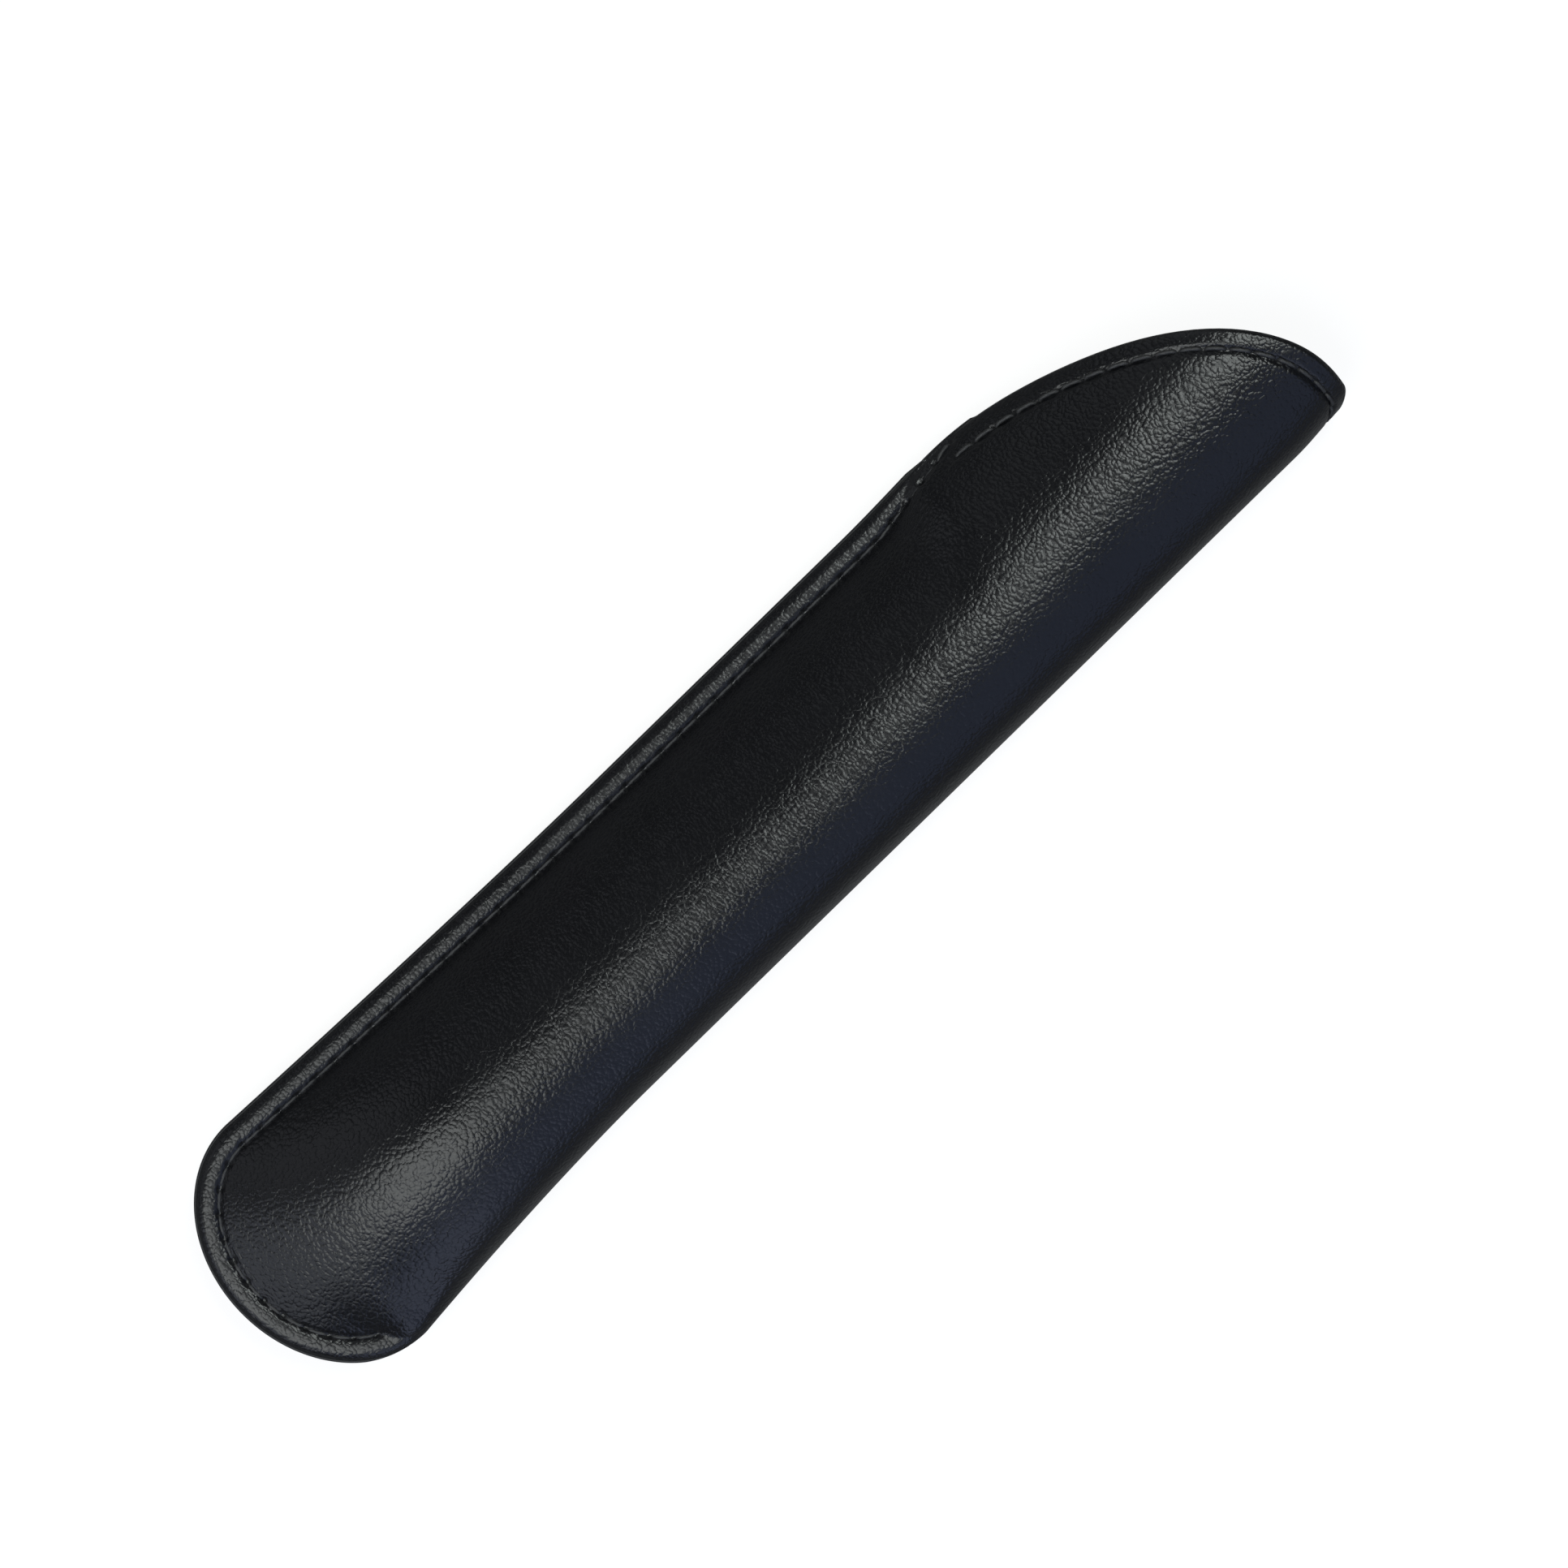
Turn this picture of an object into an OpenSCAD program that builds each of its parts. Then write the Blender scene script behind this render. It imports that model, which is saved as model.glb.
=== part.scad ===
// Single pen sleeve: one piece of lined leather, folded along one side,
// stitched along the other side and round the toe, with a slanting, arched mouth.
// The sleeve lies on its back. X runs from the seam to the fold, Y from the toe
// to the mouth, and Z up through the front panel.

/* [Outline] */
// Length from the end of the toe to the tip of the mouth
sleeve_l = 138; // [110:1:170]
// Width over the edges at the toe, where the pocket is flattest
toe_w = 28; // [25:0.5:34]
// Depth of the rounded toe
toe_depth = 11.5; // [9:0.5:14]
// How far the seam edge draws in from the toe to the body
seam_draw_in = 1.1; // [0:0.1:2]
// How far the fold draws in from the toe to the body
fold_draw_in = 1.8; // [0:0.1:2.4]

/* [Pocket] */
// Thickest pen that slides in
pen_d = 11.5; // [9:0.1:13]
// Height of the seam's middle plane over the table
seam_z = 5.2; // [4.2:0.1:6.5]
// Length over which the pocket rises from the toe seam to its full height
toe_rise_l = 27; // [20:1:36]
// Side shift of the crest from the middle of the toe, near the toe
crest_toe = 1.2; // [-1:0.1:3]
// Side shift of the crest halfway up
crest_middle = 3.6; // [0:0.1:5]
// Side shift of the crest at the mouth
crest_mouth = 0.6; // [-2:0.1:4]
// How far the pocket bends up from the table at the mouth
mouth_lift = 0.6; // [0.45:0.05:1]

/* [Mouth] */
// How far the mouth falls from its tip to the seam
mouth_drop = 33.8; // [26:0.2:42]
// Radius of the tip at the fold
tip_r = 1.2; // [0.8:0.1:2]

/* [Materials] */
// Thickness of the leather
leather_t = 0.9; // [0.7:0.05:1.2]
// Thickness of the lining cloth
lining_t = 0.3; // [0.2:0.05:0.5]
// Glue between the leather and the lining
glue_t = 0.05; // [0.03:0.01:0.08]
// Gap left between the two lining faces inside the seam
seam_gap = 0.1; // [0.06:0.02:0.2]
// Thickness of the paint on the raw edge
paint_t = 0.25; // [0.15:0.05:0.4]
// Height of the round worked on each shoulder of the raw edge
shoulder = 0.35; // [0.2:0.05:0.5]
// How far the lining stops short of the mouth's edge
lining_reveal = 1.1; // [0.6:0.1:1.5]

/* [Stitching] */
// Width of the flat seam allowance, from the edge to the pocket
seam_margin = 2.6; // [2.2:0.1:3.4]
// Distance of the seam's stitches from the edge
seam_stitch_in = 1.9; // [1.4:0.1:2]
// Distance of the hem's stitches from the mouth's edge
hem_stitch_in = 2; // [1.8:0.1:3]
// Length from one needle hole to the next
stitch_pitch = 2.4; // [1.8:0.1:3.4]
// Gap between neighbouring stitches, where the thread dives through the hole
hole_gap = 0.55; // [0.4:0.05:0.8]
// Thickness of the sewing thread
thread_d = 0.4; // [0.3:0.05:0.5]
// Air left under a stitch that spans the curved leather
thread_clear = 0.08; // [0.05:0.01:0.12]

/* [Hidden] */

// depths below the outer face of the leather
leather_out = 0;
leather_in = leather_t;
lining_out = leather_t + glue_t;
lining_in = leather_t + glue_t + lining_t;
half_seam = lining_in + seam_gap / 2;
thread_over = -(thread_d / 2 + thread_clear);
thread_under = lining_in + thread_d / 2 + thread_clear;

// outline of the leather, inside the edge paint
half_toe = toe_w / 2 - paint_t;
toe_cut = toe_depth - paint_t;
seam_body_x = -half_toe + seam_draw_in;
fold_body_x = half_toe - fold_draw_in;
seam_taper_end = 0.42 * sleeve_l;
fold_taper_end = 0.31 * sleeve_l;
seam_taper_power = 1.5;
fold_taper_power = 1.7;

// pocket
pocket_h = pen_d + 2 * lining_in;
front_rise = pocket_h - seam_z - half_seam;
back_drop = seam_z - half_seam;
belly_share = 0.35;
crease_shift = 0.45;
least_allowance = 0.45;
round_l = 14;
lift_start = 0.76 * sleeve_l;

// mouth: a quarter ellipse from the seam to the tip
tip_x = fold_body_x - tip_r;
tip_fall = 0.9 * tip_r;
arch_w = tip_x - seam_body_x;
arch_y = sleeve_l - mouth_drop;
mouth_zone_y = arch_y - 8;
seam_end_y = arch_y - 1.5;

// mesh of the sheets
toe_rows = 11;
rise_rows = 10;
body_rows = 7;
mouth_rows = 9;
first_angle = 4;
rise_power = 1.3;
dome_left = 8;
crease_cols = 6;
dome_right = 6;
first_hem_angle = 3;
crease_hem_angle = 10;
rim_row_back = 0.4;
dome_angle = 62;
nose_angles = [70, 78, 84, 88.5];
ridge_col = 2 + dome_left;
last_col = ridge_col + dome_right + len(nose_angles);
fold_row = toe_rows - 1;
zone_row = fold_row + rise_rows + body_rows;
edge_row = zone_row + mouth_rows + 1;
front_cols = [for (j = [0:last_col]) j];
back_cols = [for (j = [last_col:-1:0]) if (j >= ridge_col + dome_right || j < crease_cols || j % 2 == 0) j];
fold_strip = last_col;

// steps along the stitch lines, and the first angle of the hem's line
line_step = 2;
turn_step = 3;
hem_start_angle = 7;
side_start_angle = 9;
thread_end_r = 0.55 * thread_d / 2;
thread_end_l = 0.4 * thread_d;

// middle of the length, which goes over the origin
toe_end_y = toe_depth - toe_cut * cos(first_angle) - paint_t;
middle_y = (toe_end_y + sleeve_l) / 2;

function mix(a, b, t) = a + (b - a) * t;
function clamp(t) = min(1, max(0, t));
function ease(t) = (1 - cos(180 * clamp(t))) / 2;

// plan of the leather
function toe_half(y, inset) =
    (half_toe - inset) * sqrt(max(0, 1 - pow((toe_depth - y) / (toe_cut - inset), 2)));
function taper(y, end, power) = 1 - pow(clamp((end - y) / (end - toe_depth)), power);
function seam_x(y) =
    y < toe_depth ? -toe_half(y, 0) : -half_toe + seam_draw_in * taper(y, seam_taper_end, seam_taper_power);
function fold_x(y) =
    y < toe_depth ? toe_half(y, 0) : half_toe - fold_draw_in * taper(y, fold_taper_end, fold_taper_power);

// lines where the flat seam allowance ends and the pocket begins
crease_start = paint_t + seam_margin + 0.02 * toe_depth;
function toe_crease(y) =
    y > crease_start ? toe_half(y, seam_margin)
    : toe_half(crease_start, seam_margin) * toe_half(y, 0) / toe_half(crease_start, 0);
function allowance(y) = seam_margin * (1 - ease((y - mouth_zone_y) / (arch_y - mouth_zone_y)));
function seam_crease(y) = y < toe_depth ? -toe_crease(y) : seam_x(y) + max(least_allowance, allowance(y));
function fold_crease(y) =
    y < toe_depth ? toe_crease(y)
    : y < toe_depth + seam_margin ? fold_x(y) - sqrt(pow(seam_margin, 2) - pow(y - toe_depth, 2))
    : fold_x(y);
function crest_path(y) =
    y < sleeve_l / 2 ? mix(crest_toe, crest_middle, ease(2 * y / sleeve_l))
    : mix(crest_middle, crest_mouth, ease(2 * y / sleeve_l - 1));
function crest_x(y) = crest_path(y) * (y < toe_depth ? toe_crease(y) / (half_toe - seam_margin) : 1);

// how far the pocket has opened, from 0 at the toe seam to 1 in the body
function opened(y) = 1 - pow(1 - clamp((y - crease_start) / toe_rise_l), 2);
function lift(y) = mouth_lift * ease((y - lift_start) / (sleeve_l - lift_start));
function roundness(y) = 1 + ease((y - toe_depth) / round_l);

// share of the way from the crest to the crease, on either side
function crest_share(x, y) =
    x < crest_x(y) ? clamp((crest_x(y) - x) / (crest_x(y) - seam_crease(y)))
    : clamp((x - crest_x(y)) / (fold_crease(y) - crest_x(y)));
function swell(x, y, flat) =
    let (share = clamp((crest_share(x, y) - flat) / (1 - flat)))
    let (power = x < crest_x(y) ? 1 : 1 / roundness(y))
    pow(1 - pow(share, 2), power);

// thickness of the flat seam round the edges: a tight fold on one side, worked shoulders elsewhere
function nose(x, y, depth) =
    let (radius = half_seam - depth)
    let (from_end = (fold_x(y) - depth - crest_x(y)) * (1 - (x - crest_x(y)) / (fold_x(y) - crest_x(y))))
    y < toe_depth || x < crest_x(y) || from_end > radius ? 1
    : sqrt(max(0, 1 - pow(1 - from_end / radius, 2)));
function shoulder_drop(x, y, depth) =
    let (edge = min(x - seam_x(y), y < toe_depth ? fold_x(y) - x : shoulder))
    depth > 0 ? 0 : shoulder * pow(1 - clamp(edge / shoulder), 2);

// side shift of a point when the surface lies deeper in the wall
function deeper_x(x, y, depth) =
    let (crest = crest_x(y), crease = seam_crease(y), far_crease = toe_crease(y))
    let (rim = seam_x(y), far = fold_x(y))
    let (shift = crease_shift * depth * (y < toe_depth ? far_crease / toe_crease(toe_depth) : 1))
    x < crease ? mix(rim, crease + shift, (x - rim) / (crease - rim))
    : x < crest ? mix(crest, crease + shift, (crest - x) / (crest - crease))
    : y >= toe_depth ? mix(crest, far - depth, (x - crest) / (far - crest))
    : x < far_crease ? mix(crest, far_crease - shift, (x - crest) / (far_crease - crest))
    : mix(far, far_crease - shift, (far - x) / (far - far_crease));

// a point of the front or the back, at a depth in the wall, over the plan point x, y of the outer face
function front_point(x, y, depth) =
    [deeper_x(x, y, depth), y,
     seam_z + (half_seam - depth) * nose(x, y, depth) - shoulder_drop(x, y, depth)
     + (front_rise + lift(y)) * opened(y) * swell(x, y, 0)];
function back_point(x, y, depth) =
    [deeper_x(x, y, depth), y,
     seam_z - (half_seam - depth) * nose(x, y, depth) + shoulder_drop(x, y, depth)
     - (back_drop - lift(y)) * opened(y) * swell(x, y, belly_share)];

// plan position of each column of the mesh at a given height up the sleeve
function column_x(j, y) =
    j == 0 ? seam_x(y)
    : j == 1 ? seam_x(y) + min(shoulder, (seam_crease(y) - seam_x(y)) / 2)
    : j <= ridge_col ? mix(seam_crease(y), crest_x(y), (j - 2) / dome_left)
    : y < toe_depth ? toe_column_x(j - ridge_col, y)
    : mix(crest_x(y), fold_x(y), sin(right_angle(j - ridge_col)));
function toe_column_x(k, y) =
    k <= dome_right ? mix(crest_x(y), toe_crease(y), k / dome_right)
    : k == dome_right + 3 ? fold_x(y) - min(shoulder, (fold_x(y) - toe_crease(y)) / 2)
    : k == dome_right + 4 ? fold_x(y)
    : mix(toe_crease(y), fold_x(y) - shoulder, (k - dome_right) / 3);
function right_angle(k) = k <= dome_right ? dome_angle * k / dome_right : nose_angles[k - dome_right - 1];

// height of the mouth's edge, set back from the cut edge by a given distance
function mouth_y(x, back) =
    x < tip_x ? arch_y + (mouth_drop - back) * sqrt(max(0, 1 - pow((tip_x - x) / (arch_w - back), 2)))
    : sleeve_l - back - tip_fall * pow((x - tip_x) / tip_r, 2);
crest_hem_angle = acos((tip_x - crest_mouth) / arch_w);
function hem_angle(j) =
    j == 0 ? 0 : j == 1 ? first_hem_angle
    : mix(crease_hem_angle, crest_hem_angle, (j - 2) / dome_left);
function mouth_plan(j, back) =
    j <= ridge_col
    ? [tip_x - (arch_w - back) * cos(hem_angle(j)), arch_y + (mouth_drop - back) * sin(hem_angle(j))]
    : let (x = column_x(j, sleeve_l)) [x, mouth_y(x, back)];

// plan point of the mesh at row i and column j
function row_y(i) =
    i <= fold_row ? toe_depth - toe_cut * cos(mix(first_angle, 90, i / fold_row))
    : i <= fold_row + rise_rows ? toe_depth + toe_rise_l * pow((i - fold_row) / rise_rows, rise_power)
    : mix(toe_depth + toe_rise_l, mouth_zone_y, (i - fold_row - rise_rows) / body_rows);
function plan(i, j, back) =
    i <= zone_row ? [column_x(j, row_y(i)), row_y(i)]
    : let (low = [column_x(j, mouth_zone_y), mouth_zone_y], high = mouth_plan(j, back))
      let (share = i == edge_row ? 1 : (i - zone_row) / mouth_rows * (1 - rim_row_back / norm(high - low)))
      mix(low, high, share);

// one face of the folded sheet, as rows of points from the front edge over the fold to the back edge
function face(depth, edge_depth, back) =
    [for (i = [0:edge_row]) let (d = i == edge_row ? edge_depth : depth) concat(
        [for (j = front_cols) let (p = plan(i, j, back)) front_point(p[0], p[1], d)],
        [for (j = back_cols) let (p = plan(i, j, back)) back_point(p[0], p[1], d)])];

// closed solid between two faces; the fold's strip is left out below the end of the fold
module sheet(outer, inner) {
    rows = len(outer);
    cols = len(outer[0]);
    points = [for (face = [outer, inner]) for (row = face) each row];
    function at(side, i, j) = side * rows * cols + i * cols + j;
    function filled(i, j) =
        i >= 0 && i < rows - 1 && j >= 0 && j < cols - 1 && !(j == fold_strip && i < fold_row);
    function pair(a, b, c, d) = [[a, b, c], [a, c, d]];
    function wall(i0, j0, i1, j1) = pair(at(0, i0, j0), at(0, i1, j1), at(1, i1, j1), at(1, i0, j0));
    faces = [for (i = [0:rows - 2], j = [0:cols - 2]) if (filled(i, j)) each concat(
        pair(at(0, i, j), at(0, i + 1, j), at(0, i + 1, j + 1), at(0, i, j + 1)),
        pair(at(1, i, j), at(1, i, j + 1), at(1, i + 1, j + 1), at(1, i + 1, j)),
        filled(i - 1, j) ? [] : wall(i, j, i, j + 1),
        filled(i + 1, j) ? [] : wall(i + 1, j + 1, i + 1, j),
        filled(i, j - 1) ? [] : wall(i + 1, j, i, j),
        filled(i, j + 1) ? [] : wall(i, j + 1, i + 1, j + 1))];
    polyhedron(points, faces);
}

// the raw edge, from the mouth down the seam and round the toe to the fold
rim_line = concat(
    [[seam_x(arch_y), arch_y]],
    [for (i = [zone_row:-1:0]) [seam_x(row_y(i)), row_y(i)]],
    [for (i = [0:fold_row]) [fold_x(row_y(i)), row_y(i)]]);

// a line beside the raw edge, set in by a distance
function beside_edge(inset) = concat(
    [for (y = [seam_end_y:-line_step:toe_depth]) [seam_x(y) + inset, y]],
    [for (a = [0:turn_step:180]) [-(half_toe - inset) * cos(a), toe_depth - (toe_cut - inset) * sin(a)]]);

// moves a piece from its place along the toe and mouth to its place over the origin
module placed() {
    translate([0, -middle_y, 0])
        children();
}

// lengths along a line, and the point at a given length
function lengths(line, i = 0, sum = 0) =
    i == len(line) - 1 ? [sum] : concat([sum], lengths(line, i + 1, sum + norm(line[i + 1] - line[i])));
function along(line, marks, s) =
    [for (k = [0:2]) lookup(s, [for (i = [0:len(line) - 1]) [marks[i], line[i][k]]])];

// one stitch: a short rod of thread with tapered ends
module stitch(a, b) {
    v = b - a;
    l = norm(v);
    r = thread_d / 2;
    translate(a)
        rotate([0, acos(v[2] / l), atan2(v[1], v[0])])
            rotate_extrude($fn = 24)
                polygon([[0, 0], [thread_end_r, 0], [r, thread_end_l], [r, l - thread_end_l],
                         [thread_end_r, l], [0, l]]);
}

module row_of_stitches(line) {
    marks = lengths(line);
    total = marks[len(marks) - 1];
    count = floor(total / stitch_pitch);
    start = (total - count * stitch_pitch) / 2;
    for (k = [0:count - 1]) {
        from = start + k * stitch_pitch + hole_gap / 2;
        stitch(along(line, marks, from), along(line, marks, from + stitch_pitch - hole_gap));
    }
}

// the hem's stitch line over both panels, at a depth in the wall
function hem_plan(angle) =
    [tip_x - (arch_w - hem_stitch_in) * cos(angle), arch_y + (mouth_drop - hem_stitch_in) * sin(angle)];
function hem_side(angle) = let (x = mix(crest_mouth, fold_body_x, sin(angle))) [x, mouth_y(x, hem_stitch_in)];
hem_angles = [for (a = [hem_start_angle:turn_step:crest_hem_angle]) a];
side_angles = [for (a = [side_start_angle:2 * turn_step:90 - turn_step]) a];
function hem_line(depth) = concat(
    [for (a = hem_angles) let (p = hem_plan(a)) front_point(p[0], p[1], depth)],
    [for (a = side_angles) let (p = hem_side(a)) front_point(p[0], p[1], depth)],
    [for (k = [len(side_angles) - 1:-1:0]) let (p = hem_side(side_angles[k])) back_point(p[0], p[1], depth)],
    [for (k = [len(hem_angles) - 1:-1:0]) let (p = hem_plan(hem_angles[k])) back_point(p[0], p[1], depth)]);

module leather_shell() {
    color([0.07, 0.07, 0.09])
        placed() sheet(face(leather_out, shoulder, 0), face(leather_in, leather_in, 0));
}

module lining() {
    color([0.16, 0.16, 0.18])
        placed()
            sheet(face(lining_out, lining_out, lining_reveal), face(lining_in, lining_in, lining_reveal));
}

module edge_paint() {
    count = len(rim_line);
    high = half_seam - shoulder;
    profile = [[0, -high], [0.7 * paint_t, -0.8 * high], [paint_t, -0.35 * high],
               [paint_t, 0.35 * high], [0.7 * paint_t, 0.8 * high], [0, high]];
    sides = len(profile);
    points = [for (i = [0:count - 1])
        let (step = rim_line[min(i + 1, count - 1)] - rim_line[max(i - 1, 0)])
        let (out = [step[1], -step[0]] / norm(step))
        for (p = profile) [rim_line[i][0] + out[0] * p[0], rim_line[i][1] + out[1] * p[0], seam_z + p[1]]];
    walls = [for (i = [0:count - 2], k = [0:sides - 1])
        let (a = i * sides + k, b = i * sides + (k + 1) % sides)
        each [[a, b, b + sides], [a, b + sides, a + sides]]];
    start = [for (k = [sides - 1:-1:0]) k];
    end = [for (k = [0:sides - 1]) (count - 1) * sides + k];
    color([0.04, 0.04, 0.05])
        placed() polyhedron(points, concat([start, end], walls));
}

module seam_top_thread() {
    z = seam_z + half_seam - thread_over;
    color([0.1, 0.1, 0.11])
        placed() row_of_stitches([for (p = beside_edge(seam_stitch_in)) [p[0], p[1], z]]);
}

module seam_bobbin_thread() {
    z = seam_z - half_seam + thread_over;
    color([0.1, 0.1, 0.11])
        placed() row_of_stitches([for (p = beside_edge(seam_stitch_in)) [p[0], p[1], z]]);
}

module hem_top_thread() {
    color([0.1, 0.1, 0.11])
        placed() row_of_stitches(hem_line(thread_over));
}

module hem_bobbin_thread() {
    color([0.1, 0.1, 0.11])
        placed() row_of_stitches(hem_line(thread_under));
}

leather_shell();
lining();
edge_paint();
seam_top_thread();
seam_bobbin_thread();
hem_top_thread();
hem_bobbin_thread();
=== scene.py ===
# %% [markdown]
# # A single pen sleeve in black grained leather
# One strip of leather is folded along one long side, stitched along the other and round the toe, and left
# open at a slanting, arched mouth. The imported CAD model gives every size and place. This lesson dresses
# it: leather with a pebble grain, a cloth lining, a painted raw edge and two lines of lockstitch.

# %% Load the frame
import math

import bpy
import numpy as np
from mathutils import Matrix


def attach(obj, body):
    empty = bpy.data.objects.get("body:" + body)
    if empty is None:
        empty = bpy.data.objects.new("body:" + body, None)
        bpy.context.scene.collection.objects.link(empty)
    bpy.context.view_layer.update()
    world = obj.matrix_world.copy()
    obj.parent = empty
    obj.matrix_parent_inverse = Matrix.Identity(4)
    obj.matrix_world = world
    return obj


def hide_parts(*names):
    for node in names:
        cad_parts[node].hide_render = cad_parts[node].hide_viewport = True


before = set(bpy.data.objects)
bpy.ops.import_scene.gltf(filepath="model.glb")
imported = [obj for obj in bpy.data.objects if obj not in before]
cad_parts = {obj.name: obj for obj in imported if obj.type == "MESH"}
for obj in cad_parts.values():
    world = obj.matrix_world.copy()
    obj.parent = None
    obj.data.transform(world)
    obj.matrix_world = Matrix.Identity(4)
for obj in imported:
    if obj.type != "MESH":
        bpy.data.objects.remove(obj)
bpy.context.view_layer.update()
MM = 0.001

# %% [markdown]
# ## The camera
# The picture is taken from straight above, with the sleeve lying across it from the lower left to the
# upper right. So the camera looks down and is turned about its own axis. A long lens from far away keeps
# the two long sides parallel, as they are in the picture.

# %% Place the camera over the middle of the sleeve
PICTURE_W = 150.9 * MM      # what the picture's width covers at the height of the seam
CAMERA_H = 450 * MM
SEAM_H = 5.2 * MM
CAMERA_TURN = 45.7
LOOK_AT = (0.05 * MM, 3.93 * MM)
SENSOR = 36                 # side of the square sensor, in millimetres

lens = bpy.data.cameras.new("camera_over_sleeve")
lens.sensor_width = SENSOR
lens.sensor_height = SENSOR
lens.lens = SENSOR * (CAMERA_H - SEAM_H) / PICTURE_W
camera = bpy.data.objects.new("camera_over_sleeve", lens)
camera.location = (LOOK_AT[0], LOOK_AT[1], CAMERA_H)
camera.rotation_euler = (0, 0, math.radians(CAMERA_TURN))
bpy.context.scene.collection.objects.link(camera)
bpy.context.scene.camera = camera
print("lens in mm:", round(lens.lens, 1))

# %% [markdown]
# ## The sleeve's sizes
# These are the sizes of the CAD model, in millimetres, with Y counted from the end of the toe. The seam
# is at minus X and the fold at plus X. They are written again here because this script reads only the
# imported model. Two are this script's own: the bow, a slight extra bulge halfway along, and the corner's
# length, over which the seam allowance runs out at the fold.

# %% Outline sizes
SLEEVE_L = 138.0
PAINT_T = 0.25
TOE_DEPTH = 11.5
TOE_CUT = TOE_DEPTH - PAINT_T
HALF_TOE = 14.0 - PAINT_T
SEAM_IN, FOLD_IN = 1.1, 1.8
SEAM_X = SEAM_IN - HALF_TOE
FOLD_X = HALF_TOE - FOLD_IN
SEAM_TAPER_END, SEAM_TAPER_POWER = 0.42 * SLEEVE_L, 1.5
FOLD_TAPER_END, FOLD_TAPER_POWER = 0.31 * SLEEVE_L, 1.7

MOUTH_DROP = 33.8
TIP_R = 1.2
TIP_X = FOLD_X - TIP_R
TIP_FALL = 0.9 * TIP_R
ARCH_W = TIP_X - SEAM_X
ARCH_Y = SLEEVE_L - MOUTH_DROP
ZONE_L = 8.0                # how far below the mouth's corner the slanting rows begin
ZONE_Y = ARCH_Y - ZONE_L

TOE_STEP = math.radians(4)  # the solid's toe has flats, and its lowest corners lie this far from its end
MIDDLE_Y = (TOE_DEPTH - TOE_CUT * math.cos(TOE_STEP) - PAINT_T + SLEEVE_L) / 2
print("sleeve", SLEEVE_L, "mm long,", 2 * (HALF_TOE + PAINT_T), "mm wide at the toe")

# %% Wall and pocket sizes
LEATHER_T = 0.9
LINING_OUT, LINING_IN = 0.95, 1.25
LINING_REVEAL = 1.1
HALF_SEAM = 1.3
SEAM_Z = 5.2
POCKET_H = 14.0
FRONT_RISE = POCKET_H - SEAM_Z - HALF_SEAM
BACK_DROP = SEAM_Z - HALF_SEAM
BELLY_SHARE = 0.35          # the share of the back that is flat

SEAM_MARGIN = 2.6
LEAST_MARGIN = 0.45
CREASE_START = PAINT_T + SEAM_MARGIN + 0.02 * TOE_DEPTH
CORNER_L = 4.5
RISE_L = 27.0
ROUND_L = 14.0

BOW_H, BOW_Y, BOW_L = 0.4, 66.0, 180.0
CREST_TOE, CREST_MIDDLE, CREST_MOUTH = 1.2, 3.6, 0.6
LIFT_START = 0.76 * SLEEVE_L
MOUTH_LIFT = 0.6
print("pocket rises", round(FRONT_RISE, 2), "mm over the seam and falls", round(BACK_DROP, 2), "mm under it")

# %% [markdown]
# ## The outline
# Seen from above, the toe is half an ellipse, and both long sides draw in a little towards the body. The
# mouth is a quarter of a larger ellipse that ends in a small round tip at the fold.

# %% Outline functions
FAR = 99.0                  # a distance that no stitch or hem reaches


def mix(a, b, t):
    return a + (b - a) * t


def ease(t):
    return (1 - np.cos(np.pi * np.clip(t, 0, 1))) / 2


def taper(y, end, power):
    return 1 - np.clip((end - y) / (end - TOE_DEPTH), 0, 1) ** power


def toe_half(y, inset):
    return (HALF_TOE - inset) * np.sqrt(np.clip(1 - ((TOE_DEPTH - y) / (TOE_CUT - inset)) ** 2, 0, None))


def seam_x(y):
    draw_in = SEAM_IN * taper(y, SEAM_TAPER_END, SEAM_TAPER_POWER)
    return np.where(y < TOE_DEPTH, -toe_half(y, 0), -HALF_TOE + draw_in)


def fold_x(y):
    draw_in = FOLD_IN * taper(y, FOLD_TAPER_END, FOLD_TAPER_POWER)
    return np.where(y < TOE_DEPTH, toe_half(y, 0), HALF_TOE - draw_in)


def mouth_y(x):
    arch = np.sqrt(np.clip(1 - ((TIP_X - x) / ARCH_W) ** 2, 0, None))
    tip = SLEEVE_L - TIP_FALL * ((x - TIP_X) / TIP_R) ** 2
    return np.where(x < TIP_X, ARCH_Y + MOUTH_DROP * arch, tip)


def from_mouth(x, y):
    """How far a point lies inside the mouth's edge."""
    across = (TIP_X - x) / ARCH_W
    along = (y - ARCH_Y) / MOUTH_DROP
    size = np.sqrt(across ** 2 + along ** 2) + 1e-9
    slope = np.sqrt((across / ARCH_W) ** 2 + (along / MOUTH_DROP) ** 2) / size
    arch = np.where(y > ARCH_Y, (1 - size) / slope, FAR)
    tip = mouth_y(np.maximum(x, TIP_X)) - y
    return np.where(x < TIP_X, arch, tip)

# %% [markdown]
# ## The filled form
# The pocket has a crest that wanders a little from side to side. Each cross-section falls from the crest
# to a crease beside the seam, and rolls round the fold on the other side. It opens in a curve from the
# flat toe. The back has the same plan with a shallow, flat belly that the sleeve lies on.

# %% Height of the two panels over any point of the plan
def toe_crease(y):
    start = toe_half(CREASE_START, SEAM_MARGIN) / toe_half(CREASE_START, 0)
    return np.where(y > CREASE_START, toe_half(y, SEAM_MARGIN), start * toe_half(y, 0))


def margin(y):
    return np.maximum(LEAST_MARGIN, SEAM_MARGIN * (1 - ease((y - ZONE_Y) / (ARCH_Y - ZONE_Y))))


def seam_crease(y):
    return np.where(y < TOE_DEPTH, -toe_crease(y), seam_x(y) + margin(y))


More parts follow.
